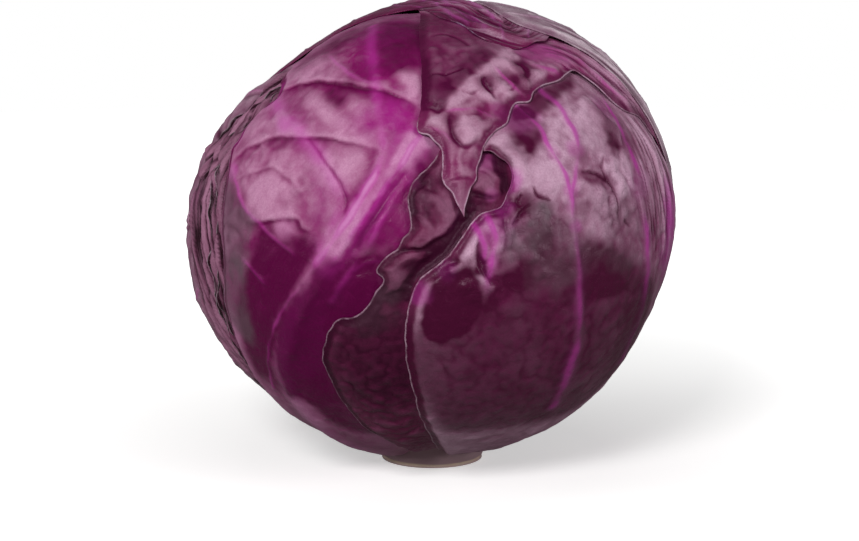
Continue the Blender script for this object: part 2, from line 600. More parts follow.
def waxy_leaf(name, flesh, deep, wax, vein, pale_vein, edge, gloss=0.36):
    """The skin of a red cabbage leaf: purple flesh, darker where it is bare, under a grey-pink wax
    bloom that is rubbed off in places, with magenta veins that are paler on top, and pale edges."""
    material, tree = new_material(name)
    place = add_node(tree, "TexCoord").outputs["Object"]
    marks = {
        key: add_node(tree, "Attribute", attribute_name=key).outputs["Fac"]
        for key in ("vein", "edge", "wax", "dark", "dry", "foot", "rough", "streaky")
    }
    flow = add_node(tree, "Attribute", attribute_name="flow").outputs["Vector"]
    # Cloudy patches 14 mm across, blotches 4 mm, mealy grains of wax about 0.6 mm, and hairline
    # wrinkles that wander over the puckered parts, 5 mm apart.
    textures = []
    for size, detail, roughness, warp in (
        (14.0, 6.0, 0.62, 0.0), (4.0, 4.0, 0.6, 0.8), (0.6, 2.0, 0.5, 0.0), (5.0, 2.0, 0.5, 1.2),
    ):
        textures.append(add_node(tree, "TexNoise", {
            "Vector": place, "Scale": 1 / (size * MM), "Detail": detail, "Roughness": roughness,
            "Distortion": warp,
        }))
    cloud, blotch, meal, hairline = textures
    # Streaks 1.3 mm wide and 26 mm long run with the leaf.
    drawn = add_node(tree, "Mapping", {"Vector": flow, "Scale": (1 / 1.3, 1 / 26, 1.0)})
    streaks = add_node(tree, "TexNoise", {
        "Vector": drawn, "Scale": 1.0, "Detail": 4.0, "Roughness": 0.6,
    })
    soft = {"interpolation_type": "SMOOTHSTEP"}

    # Bare skin is darker in blotches, and streaks of wax stay in the furrows of pleats.
    darkened = add_node(tree, "Math", [marks["dark"], 0.4], operation="SUBTRACT")
    dark_cover = add_node(tree, "Math", [blotch, 0.9, darkened], operation="MULTIPLY_ADD")
    half_streaky = add_node(tree, "Math", [marks["streaky"], 0.5], operation="MULTIPLY")
    streak_cover = add_node(tree, "MapRange", [streaks, 0.48, 0.68, 0.0, half_streaky], **soft)
    # Bloom is cloudy and mealy, drawn out into lines, and rubbed off where the skin is dark.
    grains = add_node(tree, "MapRange", [meal, 0.3, 0.7, 0.82, 1.0], **soft)
    gaps = add_node(tree, "MapRange", [streaks, 0.3, 0.65, 1.0, 0.0], **soft)
    drawn_out = add_node(tree, "Math", [marks["streaky"], -0.3, -0.08], operation="MULTIPLY_ADD")
    lines = add_node(tree, "Math", [gaps, drawn_out, 1.0], operation="MULTIPLY_ADD", use_clamp=True)
    thick = add_node(tree, "Math", [marks["wax"], 0.85], operation="SUBTRACT")
    cloudy = add_node(tree, "Math", [cloud, 1.1, thick], operation="MULTIPLY_ADD")
    covered = add_node(tree, "Math", [blotch, 0.6, cloudy], operation="MULTIPLY_ADD", use_clamp=True)
    clear = add_node(tree, "Math", [1.0, marks["dark"]], operation="SUBTRACT", use_clamp=True)
    exposed = add_node(tree, "Math", [clear, 1.5], operation="POWER")
    bloom = covered
    for part in (grains, lines, exposed):
        bloom = add_node(tree, "Math", [bloom, part], operation="MULTIPLY")
    # Veins are paler where they're bloomed and on top, and sink into the dark skin.
    vein_bloom = add_node(tree, "Math", [bloom, 0.6], operation="MULTIPLY")
    vein_skin = add_node(tree, "Mix", {
        0: vein_bloom, 6: linear(vein), 7: linear(pale_vein),
    }, data_type="RGBA")
    unsunk = add_node(tree, "MapRange", [marks["dark"], 0.2, 1.0, 1.0, 0.4], **soft)
    strength = add_node(tree, "MapRange", [marks["vein"], 0.0, 0.7, 0.0, unsunk], **soft)
    vein_cover = add_node(tree, "Math", [strength, lines], operation="MULTIPLY")
    crest = add_node(tree, "MapRange", [marks["vein"], 0.62, 1.1, 0.0, 0.7], **soft)
    crest_cover = add_node(tree, "Math", [crest, exposed], operation="MULTIPLY")
    # Dry brown patches, the pale foot by the stem, wrinkles, and a thin edge that is pale in places.
    dried = add_node(tree, "MapRange", [cloud, 0.35, 0.6, 0.5, 1.0], **soft)
    dry_cover = add_node(tree, "Math", [marks["dry"], dried], operation="MULTIPLY")
    ribbed = add_node(tree, "Math", [marks["vein"], 0.3], operation="ADD", use_clamp=True)
    foot_cover = add_node(tree, "Math", [marks["foot"], ribbed], operation="MULTIPLY")
    crossing = add_node(tree, "Math", [hairline, 0.5], operation="SUBTRACT")
    off_hairline = add_node(tree, "Math", [crossing], operation="ABSOLUTE")
    wrinkle = add_node(tree, "MapRange", [off_hairline, 0.0, 0.018, marks["rough"], 0.0], **soft)
    wrinkle_cover = add_node(tree, "Math", [wrinkle, 0.55], operation="MULTIPLY")
    pale_part = add_node(tree, "MapRange", [blotch, 0.35, 0.62, 0.15, 0.6], **soft)
    edge_cover = add_node(tree, "MapRange", [marks["edge"], 0.35, 1.0, 0.0, pale_part], **soft)

    colour = linear(flesh)
    for cover, over in (
        (dark_cover, linear(deep)), (streak_cover, linear(wax)), (bloom, linear(wax)),
        (vein_cover, vein_skin), (crest_cover, linear(pale_vein)), (dry_cover, linear("#5f4b55")),
        (foot_cover, linear("#c9a3b4")), (wrinkle_cover, linear(deep)), (edge_cover, linear(edge)),
    ):
        colour = add_node(tree, "Mix", {0: cover, 6: colour, 7: over}, data_type="RGBA")

    # Wax scatters light, so bloomed skin is less glossy than bare skin.
    roughness = add_node(tree, "MapRange", [bloom, 0.0, 1.0, gloss, gloss + 0.18], **soft)
    sunk = add_node(tree, "Math", [wrinkle, -0.6], operation="MULTIPLY")
    height = add_node(tree, "Math", [streaks, 0.6, sunk], operation="MULTIPLY_ADD")
    raised = add_node(tree, "Bump", {"Height": height, "Strength": 0.6, "Distance": 0.3 * MM})
    fine = add_node(tree, "Bump", {
        "Height": blotch, "Strength": 0.5, "Distance": 0.6 * MM, "Normal": raised,
    })
    shader = add_node(tree, "BsdfPrincipled", {
        "Base Color": colour, "Roughness": roughness, "Normal": fine, "IOR": 1.38,
        "Specular IOR Level": 0.3, "Specular Tint": linear("#f2cfe4"),
    })
    add_node(tree, "OutputMaterial", [shader])
    return material


right_back_skin = waxy_leaf(
    "waxy_leaf_grey_lavender", "#7a3460", "#400a2b", "#d9c7d1", "#a0568a", "#c69dbc", "#cbb9c3")
lay_leaf(
    "right_back_leaf",
    midrib=[[137, -77], [134, -40], [130, 0], [125, 40], [110, 79]],
    left=[
        [100, -77], [100, -58], [97, -34], [92, -8], [85, 15], [79, 33], [75, 42], [71, 49],
        [65, 56], [58, 60], [53, 64], [55, 70], [72, 76], [110, 79],
    ],
    right=[[175, -77], [189, -52], [190, -18], [188, 15], [184, 45], [168, 68], [110, 79]],
    material=right_back_skin, press=1.1, side_vein_count=7, pucker=0.1,
    flow=[[100, -77], [97, -34], [92, -8], [85, 15], [79, 33], [71, 49], [58, 60], [56, 70]],
    pleats=[([76, 44], 16, 0.7), ([88, 4], 14, 0.45)],
    pleat_size=(3.2, 70),
    ridges=[
        ([[73, 51], [77, 45], [80, 38], [84, 28]], 0.5, 0.7, 1),
        ([[64, 61], [73, 56], [80, 49], [86, 40]], 0.6, 0.8, 1.2),
    ],
    wax=0.5, wave=2, ragged=0.3,
    paint={
        "wax": [
            ([[92, -8], [85, 15], [79, 33], [75, 42], [71, 49], [65, 56], [70, 58], [78, 50],
              [84, 40], [88, 25], [96, -5]], 2, 0.4),
            ([76, 36], 8, 0.3),
        ],
        "dark": [([82, 48], 5, 0.15), ([90, 20], 6, 0.3)],
        "edge": [([70, 54], 24, -0.5)],
    },
)


# --- The cap leaf -------------------------------------------------------------------------------
# A broad leaf that grows at the back and folds forward over the top. Its bare, dark magenta tip
# ends in a thin lavender edge just in front of the crown.

cap_skin = waxy_leaf(
    "bare_leaf_dark_magenta", "#762050", "#4a0830", "#b08ba3", "#984083", "#b583a9", "#b9a3c6",
    gloss=0.34)
lay_leaf(
    "cap_leaf",
    midrib=[[-170, -77], [-172, -30], [-174, 20], [-178, 60], [40, 86], [27, 60]],
    left=[
        [150, -77], [146, -58], [142, -34], [136, -6], [128, 20], [112, 42], [84, 56], [64, 58],
        [55, 56.5], [46, 56], [38, 55], [34.5, 55], [30.5, 56], [25.5, 58.5],
    ],
    right=[
        [-130, -77], [-124, -54], [-117, -20], [-110, 12], [-102, 42], [-86, 64], [-50, 76],
        [-13, 79], [0, 75], [6.5, 71.5], [12, 69.5], [17, 67.5], [20, 64.5], [22, 61.5],
        [25.5, 58.5],
    ],
    material=cap_skin, press=1.1, side_vein_count=8, pucker=0.1,
    flow=[[84, 57], [64, 60], [40, 58], [24, 66], [8, 76], [-40, 76]],
    pleats=[([52, 62], 22, 0.7), ([10, 78], 20, 0.3)],
    pleat_size=(3.2, 40), wave=5, ragged=0.3, wax=0.2,
    veins=[([[40, 84], [30, 76], [27, 68], [27, 61]], 1.6, 0.8, 0.4, 0.6)],
    ridges=[
        ([[14, 74], [30, 68], [46, 63], [60, 60]], 0.6, 1, 1.4),
        ([[30, 78], [50, 70], [68, 63]], 0.6, 1.2, 1),
    ],
    paint={
        "dark": [([30, 63], 8, 0.3), ([20, 70], 6, 0.3), ([-40, 84], 16, 0.3)],
        "wax": [([26, 62], 9, -0.3), ([72, 60], 8, 0.35), ([110, 62], 25, 0.3)],
        "edge": [([46, 56], 12, -0.8), ([-60, 72], 30, -0.7), ([-110, 20], 40, -0.3)],
    },
)


# --- The crown leaf -----------------------------------------------------------------------------
# The leaf that comes over from the right back and hangs down the front in a pointed tongue. It is
# bare and wrinkled on top, breaks over a brow, and is puckered and bloomed from there to its edge.

crown_skin = waxy_leaf(
    "puckered_leaf_plum", "#762453", "#4a0630", "#b98ea7", "#9a3079", "#b466a0", "#c0a3b6")
lay_leaf(
    "crown_leaf",
    midrib=[
        [115, -77], [116, -30], [115, 10], [108, 45], [85, 66], [40, 66], [14, 50], [6, 30],
        [7, 12],
    ],
    left=[
        [88, -77], [90, -60], [92, -40], [91, -15], [89, 5], [86, 17], [80, 26], [73, 30.5],
        [68, 32], [64, 33.5], [60.5, 36], [57.5, 39], [56, 41.5], [53.5, 44], [51.5, 45],
        [47.5, 44.5], [43, 43.5], [35.5, 42.5], [31.5, 41], [28.5, 38.5], [24.5, 38.5], [22.5, 37],
        [21, 35], [20, 33.5], [17, 32], [15, 30.5], [13.5, 29], [12.5, 27.5], [11.5, 25],
        [10.5, 23], [10, 20.5], [8.5, 18.5], [8, 17], [7.3, 15], [7, 12.5],
    ],
    right=[
        [150, -77], [152, -45], [155, -10], [156, 25], [155, 55], [150, 78], [-40, 84], [-13, 78],
        [-7.5, 67.5], [-6, 60.5], [-3.5, 49.5], [-3, 42], [-3, 37.5], [-3, 31.5], [-1, 31],
        [0.5, 29.5], [2, 28], [2.5, 25.5], [2.5, 23], [2.5, 20.5], [3, 19.5], [4.5, 18],
        [5.5, 15.5], [7, 12.5],
    ],
    material=crown_skin, press=1.4, rib=(3, 0.3), rib_tint=0,
    flow=[[6, 58], [36, 60], [56, 54], [68, 40], [80, 24], [90, 0], [94, -60]],
    wave=8, ragged=0.35, pucker=0.1,
    pleats=[([66, 46], 13, 0.7), ([90, 30], 20, 0.35)],
    pleat_size=(3, 50),
    veins=[
        ([[20, 48.5], [22.5, 45.5], [24.5, 43.5], [26, 41], [28, 39.2]], 0.7, 0.6, 0.3, 0.8),
        ([[34.5, 51], [37.5, 48.5], [41.5, 46.5], [45, 44.5]], 1.4, 0.9, 0.3, 0.8),
        ([[3, 36], [6, 36.5], [9, 36.5], [12, 36.5], [15.5, 35], [17.5, 34]], 0.5, 0.4, 0.2, 0.6),
        ([[6.5, 71], [17, 67], [21.5, 62], [25.5, 58], [30, 55.5]], 1.3, 0.8, 0.4, 0.4),
        ([[-2, 33], [2, 31.5], [4, 30], [5, 27]], 0.5, 0.4, 0.3, 0.4),
        ([[55, 62], [60, 56], [59, 50], [58.7, 47], [60.5, 42.4], [64, 37], [68.5, 33]], 1, 0.7,
          0.3, 0.6),
        ([[100, -60], [98, -20], [94, 10], [86, 32]], 3, 1.5, 0.9, 0.5),
    ],
    ridges=[
        ([[40, 55.5], [32, 54.5], [26, 52.5], [20.5, 49.5], [16, 47], [12, 44.5], [8, 41.5],
          [3, 37]], 2, 4.5, 11),
        ([[12, 44], [15.5, 40.5], [19, 37.5]], 0.7, 1.8, 1.8),
        ([[17.5, 47.5], [20, 43], [24, 39.5]], 0.7, 2.2, 1.2),
        ([[26, 50], [29, 45], [30.5, 41]], 0.8, 2.5, 1.4),
        ([[2, 31], [4, 26], [3.5, 20]], 0.4, 1, 1.2),
        ([[12, 28.5], [10, 24], [8.5, 19.5]], 0.4, 1.2, 1),
        ([[7.3, 28], [6.5, 25.5], [6.8, 22], [7, 20.5]], 0.4, 0.5, 0.5),
        ([[4.2, 19], [5.6, 16.5], [7, 13.5]], 0.25, 0.4, 0.4),
        ([[8.8, 19], [8, 16.5], [7.2, 14]], 0.25, 0.4, 0.4),
        ([[70, 44], [73, 39], [76, 33], [82, 26]], 0.5, 0.7, 1),
        ([[62, 49], [67, 43], [70, 37], [74, 31]], 0.4, 0.6, 1),
    ],
    creases=[
        ([[-3, 37], [-1, 37.5], [2.5, 36.3]], 0.6, 0.8),
        ([[-2.5, 46], [1.5, 46.5], [4, 46], [7, 46.5], [10.5, 47.5]], 0.4, 0.5),
        ([[-1, 60.5], [4, 61.5], [9.5, 60.5], [15, 55]], 0.5, 0.4),
        ([[15.5, 45], [15.5, 43], [17.5, 41], [18, 39]], 0.7, 0.8),
        ([[4.5, 35.5], [4.5, 33], [6, 29], [8, 27.7], [10.5, 28.7], [12, 30.5]], 0.7, 0.7),
        ([[3.5, 20], [5.5, 20.6], [7.5, 20.6], [10, 20]], 0.4, 0.4),
        ([[66, 47], [71, 40.5], [74, 35]], 0.6, 0.5),
        ([[31, 49], [32, 46.5], [30.5, 44]], 0.9, 0.7),
        ([[8, 41], [11, 40.5], [14, 41.5]], 0.4, 0.4), ([[21, 41], [24, 41.7], [26, 43]], 0.4, 0.4),
    ],
    bulges=[
        ([6, 38.5], 2.6, 0.7), ([11, 42], 3, 0.8), ([20.5, 42], 3, 0.8), ([25, 48.5], 3, 0.6),
        ([34.5, 44.5], 3, 0.8), ([9.5, 31.5], 3.6, 1.5), ([2.5, 34], 1.8, 0.6),
        ([13.5, 38.5], 2.6, 0.6), ([50, 52], 8, 0.8), ([5, 25.5], 2, 0.4), ([6.5, 17.5], 2.4, 0.3),
    ],
    puckers=[([20, 42], 12, 0.16), ([8, 33], 8, 0.12), ([36, 46], 8, 0.16), ([2, 50], 9, 0.15)],
    pucker_size=6.5,
    curls=[
        ([50, 45], 5, 40, 3.5), ([57, 40], 4, 35, 3.5), ([32, 41], 4, 25, 3), ([21, 35], 3, 25, 3),
        ([-12, 74], 9, 0, 4), ([78, 26], 12, 0, 4), ([90, -20], 40, 0, 4), ([8, 17], 4, 12, 2.5),
    ],
    wax=0.28,
    paint={
        "dark": [
            ([[2.5, 36.5], [5, 39.5], [8, 42], [12, 45], [16, 47.5], [20.5, 50], [27, 53],
              [34, 55.5], [24, 64], [4, 74], [-16, 78], [-7, 60], [-4, 46], [-3, 37]], 1.4, 0.42),
            ([[2.5, 36.5], [8, 42], [16, 47.5], [23, 51], [20, 54], [10, 49], [3, 43], [0, 38]], 2,
              0.35),
            ([15.5, 43], 2.2, 0.5), ([18.5, 44], 2.2, 0.35), ([4.5, 34], 2.2, 0.5),
            ([31, 47.5], 3.2, 0.6), ([19, 36.5], 2.4, 0.4), ([5.5, 30.5], 2, 0.35),
            ([28, 43.5], 2.4, 0.45), ([46, 52], 4.5, 0.25), ([56, 55], 4, 0.25),
            ([36, 53], 3, 0.35), ([0, 44], 3, 0.35), ([13, 34], 2.5, 0.3),
        ],
        "wax": [
            ([[2.5, 36.5], [8, 42], [16, 47.5], [27, 53], [34, 55.5], [24, 64], [4, 74], [-16, 78],
              [-7, 60], [-4, 46], [-3, 37]], 1.4, -0.25),
            ([[3.5, 36.8], [8, 41.3], [12, 44.3], [16, 46.8], [20.5, 49.3], [24, 46], [20, 42],
              [14, 38.5], [9, 37.3]], 1.6, 0.34),
            ([[22, 49.5], [26, 51.5], [33, 51], [29, 47], [25.5, 45.5]], 1.8, 0.4),
            ([[6.5, 35.5], [11, 35.5], [13, 32], [11, 28.7], [8, 28.2], [5.5, 31]], 1.2, 0.55),
            ([34.5, 44.5], 3, 0.45), ([20.5, 41], 3.6, 0.3), ([2.5, 34], 2.4, 0.3),
            ([-0.5, 39.5], 2.6, 0.35), ([5, 22], 5, -0.22), ([8.7, 23.5], 2.2, 0.15),
            ([41, 49], 4, 0.25), ([68, 39], 8, 0.45),
        ],
        "vein": [
            ([18.5, 36.5], 2.4, 0.3), ([42, 53], 6, 0.35), ([53, 51], 5, 0.25), ([66, 40], 8, 0.15),
        ],
        "dry": [([[3.5, 19.8], [7, 20.4], [10, 19.8], [8, 16.5], [7, 12.5], [5, 16.5]], 0.8, 0.15)],
        "edge": [
            ([-9, 66], 17, -0.9), ([-4, 46], 9, -0.9), ([-3.5, 38], 3.5, -0.6), ([74, 30], 8, -0.3),
        ],
    },
)


# --- The right leaf -----------------------------------------------------------------------------
# A big domed leaf with a forked magenta vein. Its left edge is rolled back round a deep bay beside
# the crown leaf's tongue, and its lower part is bare and dark.

right_skin = waxy_leaf(
    "bloomed_leaf_mauve", "#70244f", "#44082a", "#c59eb6", "#a32c88", "#ba62aa", "#c3a3b6")
lay_leaf(
    "right_leaf",
    midrib=[[50, -77], [42, -45], [34, -8], [31, 15], [33, 35], [48, 60]],
    left=[
        [10, -77], [2, -60], [-4, -36], [-6, -14], [-4.5, -5], [-2.5, -1], [-0.5, 1], [1, 2],
        [3.5, 4], [5.5, 7], [7, 8.7], [9, 11.5], [11, 13], [13.5, 13.8], [15.5, 15], [16.7, 17],
        [17.2, 19.5], [17.2, 22], [16.5, 24.5], [15, 26.3], [12.5, 27.5], [8, 31], [14, 46],
        [48, 60],
    ],
    right=[[90, -77], [102, -52], [102, -22], [98, 10], [88, 40], [70, 58], [48, 60]],
    material=right_skin, press=2.4, wave=10, rib=(3.5, 0.5), rib_tint=0,
    flow=[[60, -70], [62, -20], [63, 10], [60, 35], [50, 50]],
    pleats=[([70, 14], 14, 0.6)],
    pleat_size=(3, 45),
    veins=[
        ([[38, -40], [35, -14], [33, 1], [32.5, 6.5], [32, 11], [32.4, 15.5], [32, 18.4],
          [31.7, 21], [30.3, 24], [29, 28], [28.5, 31.4], [27, 34.3], [24, 38], [22, 41]], 1.7,
          0.6, 0.4, 0.75),
        ([[32, 12], [32.6, 16], [34.5, 19.5], [35.6, 22.4], [37.6, 26.7], [38.4, 29.8], [37.7, 33],
          [37, 37.6], [35, 41], [33, 45]], 0.9, 1.3, 0.3, 0.7),
        ([[62, -30], [57, -2], [55.8, 9.8], [55.6, 13.2], [56.8, 16], [56.7, 20], [56, 24.4],
          [55.7, 29.5], [57, 33.6], [57.6, 37.5], [58, 42]], 2.6, 1, 0.3, 0.6),
        ([[18, 13.5], [17, 10.5], [15.5, 7.5], [13.5, 3.5], [12, 0.5], [12, -6]], 1.8, 1.2, 0.6,
          0.55),
        ([[11.5, 15], [12.8, 11.5], [13.6, 8], [12.8, 4.5], [12, 0]], 1.5, 1.3, 0.7, 0.8),
        ([[8.5, 13], [9.8, 9.5], [11, 6], [10.8, 2]], 1.2, 1, 0.6, 0.6),
    ],
    ridges=[
        ([[17, 27.5], [20, 25], [21, 21.5], [20.5, 18]], 1, 1.8, 1.8),
        ([[8.3, 10], [9.3, 8.5], [8.3, 4.5], [9.3, 1.5], [11, -1.5], [13.5, -3.5]], 1.1, 1.2, 2),
        ([[48, 38.5], [49.5, 35], [51, 32], [53.5, 29.5], [53, 25]], 0.8, 0.7, 4),
        ([[2, 1.5], [4, 1.1], [6.3, 2.3]], 0.8, 0.8, 1.4),
        ([[18, 31], [19.5, 28], [22, 24]], 0.5, 1.2, 1.2),
        ([[15, 26.8], [17.8, 23.5], [18.2, 19.5], [17.4, 16.5], [15, 14.5]], 0.9, 0.8, 1.2),
        ([[66, 34], [66.5, 27], [67.5, 19], [67, 10], [65, -2]], 0.6, 0.7, 1.2),
        ([[61.5, 33], [61.5, 25], [62, 17], [61, 8]], 0.4, 0.6, 1),
        ([[71, 30], [72, 20], [71, 8], [70, -6]], 0.5, 0.8, 1.4),
    ],
    creases=[
        ([[23.3, 18.3], [24.4, 16.3], [27, 15]], 0.4, 0.9),
        ([[20.5, 17], [19.2, 15.5], [19.5, 14]], 0.4, 0.7),
        ([[22, 14.5], [20.5, 13.5], [19, 12], [17, 10]], 0.5, 0.7),
        ([[44.5, 23.5], [43, 20.5], [44, 18.2], [45.5, 15.5], [46, 12], [45.5, 9.5]], 0.35, 0.6),
        ([[47.5, 9], [49.5, 7.3]], 0.4, 0.7),
        ([[10.2, 9], [9.8, 5], [10.5, 1.5], [13, -2.5]], 0.6, 0.8),
        ([[15.5, 12.5], [16, 9], [15.5, 5]], 0.7, 0.6),
        ([[3, 3.2], [4.5, 2.6], [6, 3.4]], 0.8, 0.8),
        ([[36.5, 20.5], [40, 20], [44.5, 17.5]], 0.5, 0.5),
        ([[64, 32], [64, 24], [64.7, 15], [64, 6]], 0.5, 0.5),
        ([[69, 33], [69.5, 23], [69.5, 13], [68.5, 0]], 0.5, 0.5),
    ],
    bulges=[
        ([40, 23], 11, 0.9), ([27, 21], 5, 0.7), ([24, 10], 5, 0.7), ([46, 30], 6, 0.6),
        ([40, 14], 4, 0.5), ([50, 20], 4, 0.5), ([38, 8], 5, 0.5), ([18, 5], 4, 0.5),
    ],
    puckers=[([22, 10], 8, 0.3), ([45, 16], 9, 0.3), ([10, 0], 7, 0.3)],
    pucker=0.12, pucker_size=7.5,
    curls=[
        ([17.2, 21], 5, 125, 3.2), ([14, 27], 3, 70, 3), ([15.5, 15.5], 3, 60, 3),
        ([8, 10], 5, 35, 3),
    ],
    wax=0.6,
    paint={
        "dark": [
            ([[20, 36], [26.5, 37], [29.5, 31], [27, 27.5], [24.3, 24.5], [22.7, 27.5],
              [20.5, 31]], 2, 0.6),
            ([[23, 38], [28.5, 38.5], [31.5, 41], [35.5, 42.5], [43, 43.5], [47.5, 44.5], [51, 45],
              [50, 42.5], [44, 40.5], [38, 38.5], [33, 36], [28, 34.5], [23, 35.5]], 1.6, 0.75),
            ([[47.5, 37.5], [51, 34], [53.5, 29.5], [52, 25.5], [48.5, 23], [48, 26], [47.5, 29.5],
              [48.5, 32], [46.5, 34.5]], 1.6, 0.4),
            ([[36.5, 20.5], [38.5, 21], [42.5, 19.5], [44.5, 17.5], [41.5, 16.5], [38.5, 18]], 1.6,
              0.35),
            ([[33.5, 4.5], [39.5, 5], [44.5, 3], [52, 0], [62, -8], [60, -40], [20, -45], [6, -45],
              [-4, -30], [-6, -14], [0, -7], [8, -4], [18, 0], [24, 2], [30, 3.5]], 4.5, 0.75),
            ([[33.5, 6], [36, 6.5], [41, 4.5], [48, 1], [50, -4], [36, -6]], 2.5, 0.35),
            ([52, 28], 6, 0.3), ([24, 12], 6, 0.25), ([38, 14], 6, 0.15), ([62, 12], 8, 0.15),
            ([5, -1], 5, 0.5), ([9, 2.5], 2.5, 0.4), ([17, 13], 4, 0.3), ([22, 27], 4, 0.2),
            ([[2, 2], [4, 0.5], [7, 1], [10, -4], [8, -12], [0, -14], [-2, -6]], 1.6, 0.8),
            ([15.8, 12.3], 2, 0.4), ([20.5, 14.5], 2.8, 0.5), ([10.5, 1.5], 2, 0.6),
            ([17.5, 1], 4, 0.5), ([66, -16], 14, 0.3), ([37.5, 24.5], 2.4, 0.4),
            ([22, 4], 3.5, 0.5), ([24, 7], 4, 0.35), ([58, 26], 4, 0.2), ([28.5, 6.5], 5, 0.25),
            ([22, 28], 3, 0.25), ([24.5, 12], 3, 0.2),
        ],
        "wax": [
            ([26, 22], 5.5, 0.35), ([21, 22], 3, 0.35), ([33, 29], 5, 0.3), ([43, 31], 6, 0.3),
            ([50, 20], 5, 0.25), ([28, 18], 4, 0.3), ([19, 28], 3, 0.3), ([38, 10], 6, 0.2),
            ([33.5, 17.8], 1.8, 0.3), ([67, 22], 8, 0.2), ([52, 31], 3, 0.3), ([14, 13], 2.5, 0.15),
            ([33, 38], 4, -0.3), ([14, -3], 4, -0.3),
            ([[10, 12], [24, 13], [40, 13], [60, 10], [75, 5], [75, -30], [5, -30]], 7, -0.25),
        ],
        "vein": [
            ([24.5, 34.5], 5, 0.3), ([13, 9], 4, 0.3), ([36.5, 26], 2.6, 0.3), ([56, 16], 5, 0.2),
            ([73, 10], 7, 0.4), ([54, 35], 4, 0.2), ([17.6, 20], 3, 0.45), ([16, 14.5], 2.4, 0.4),
            ([72, 0], 8, 0.35), ([32.6, 17], 2.2, 0.35), ([32.8, 9], 2, 0.35), ([32, 13], 1.8, 0.2),
            ([30, 25], 2.2, 0.25), ([3, 1.4], 2.5, 0.3), ([-3, -4], 3, 0.35),
        ],
        "dry": [
            ([24.4, 12.2], 3, 0.85), ([20, 7], 4, 0.6), ([37, 13], 3, 0.25), ([41.5, 28], 3, 0.25),
            ([16.8, 5.5], 2.6, 0.35), ([29, 4], 8, 0.5), ([48, 6], 8, 0.4),
        ],
        "edge": [([17.2, 21], 4.5, -0.6), ([14, 14.5], 3, -0.3)],
    },
)


# --- The centre leaf ----------------------------------------------------------------------------
# A dark, crumpled leaf that shows between the left and right leaves under the tongue. Its thin
# left edge lies in folds over the left leaf.

